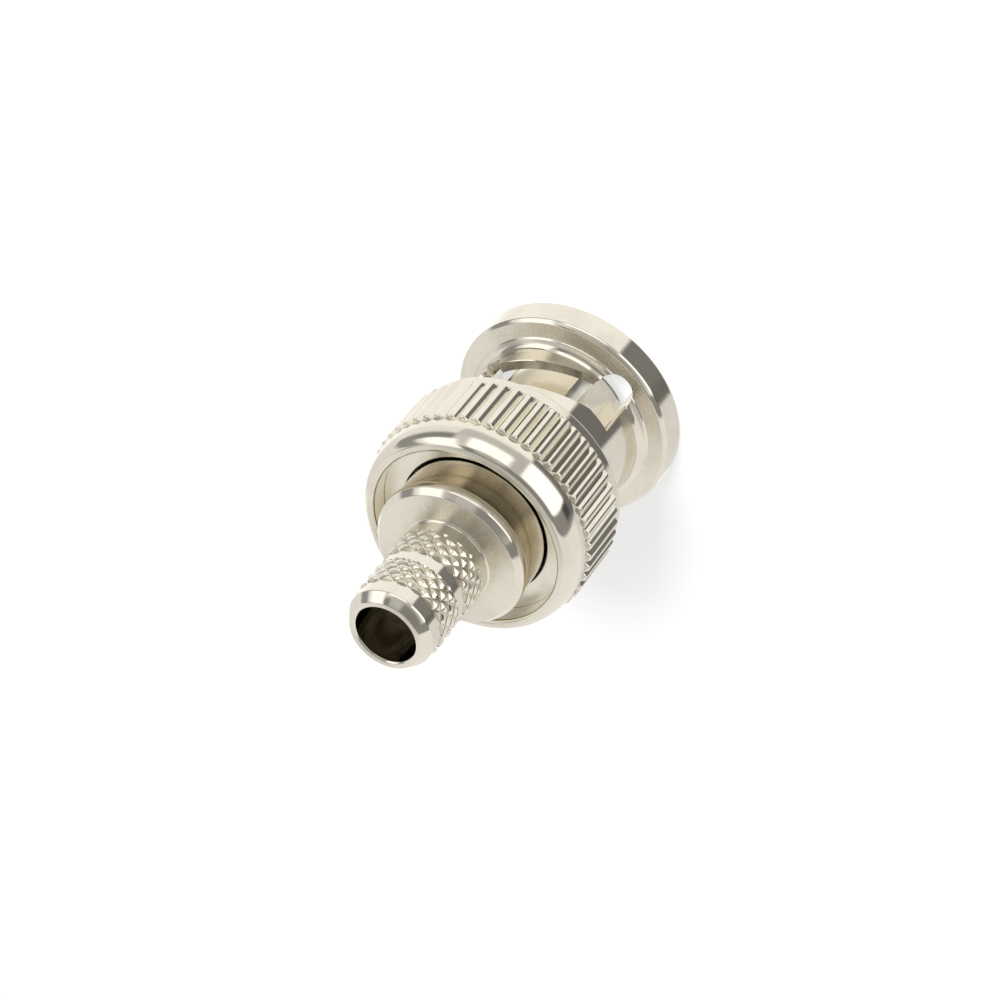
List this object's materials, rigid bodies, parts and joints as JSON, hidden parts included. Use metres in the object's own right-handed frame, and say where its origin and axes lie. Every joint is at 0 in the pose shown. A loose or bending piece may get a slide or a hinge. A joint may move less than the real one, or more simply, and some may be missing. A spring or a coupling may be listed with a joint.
{
  "type": "bnc connector",
  "caption": "Male bayonet coaxial plug with a knurled coupling nut, sprung outer contact and a knurled crimp tube for the cable.",
  "frame": {"origin": "centre of the coupling nut's front face, on the plug's axis", "axes": "+Z along the plug's axis, from the mating end to the crimp tube; +X is 16.5 degrees past the middle of one entry channel of the bayonet"},
  "size_m": [0.0148, 0.0148, 0.0246],
  "materials": {
    "nickel_nut": "bright nickel plate over turned and knurled brass",
    "nickel_washer": "bright nickel plate over stamped brass",
    "spring_steel": "spring steel, rolled",
    "nickel_body": "bright nickel plate over turned brass, faces with fine lathe marks",
    "nickel_sleeve": "nickel plate over a slit, sprung brass tube",
    "ptfe": "white fluoropolymer, machined",
    "gold_pin": "thin gold plate",
    "silicone_rubber": "moulded silicone rubber, satin"
  },
  "bodies": {
    "body": {"crimp_body": "nickel_body", "contact_sleeve": "nickel_sleeve", "insulator": "ptfe", "centre_pin": "gold_pin", "gasket": "silicone_rubber", "wave_spring": "spring_steel"},
    "washer": {"retaining_washer": "nickel_washer"},
    "nut": {"coupling_nut": "nickel_nut"}
  },
  "joints": [
    {"name": "nut_travel", "type": "slide", "parent": "body", "child": "washer", "axis": [0, 0, -1], "range_m": [0, 0.0007], "stiffness_N_per_m": 4000, "springref_m": -0.0005, "deforming": ["wave_spring"]},
    {"name": "nut_turn", "type": "hinge", "parent": "washer", "child": "nut", "pos_m": [0, 0, 0.0132], "axis": [0, 0, 1], "continuous": true}
  ]
}
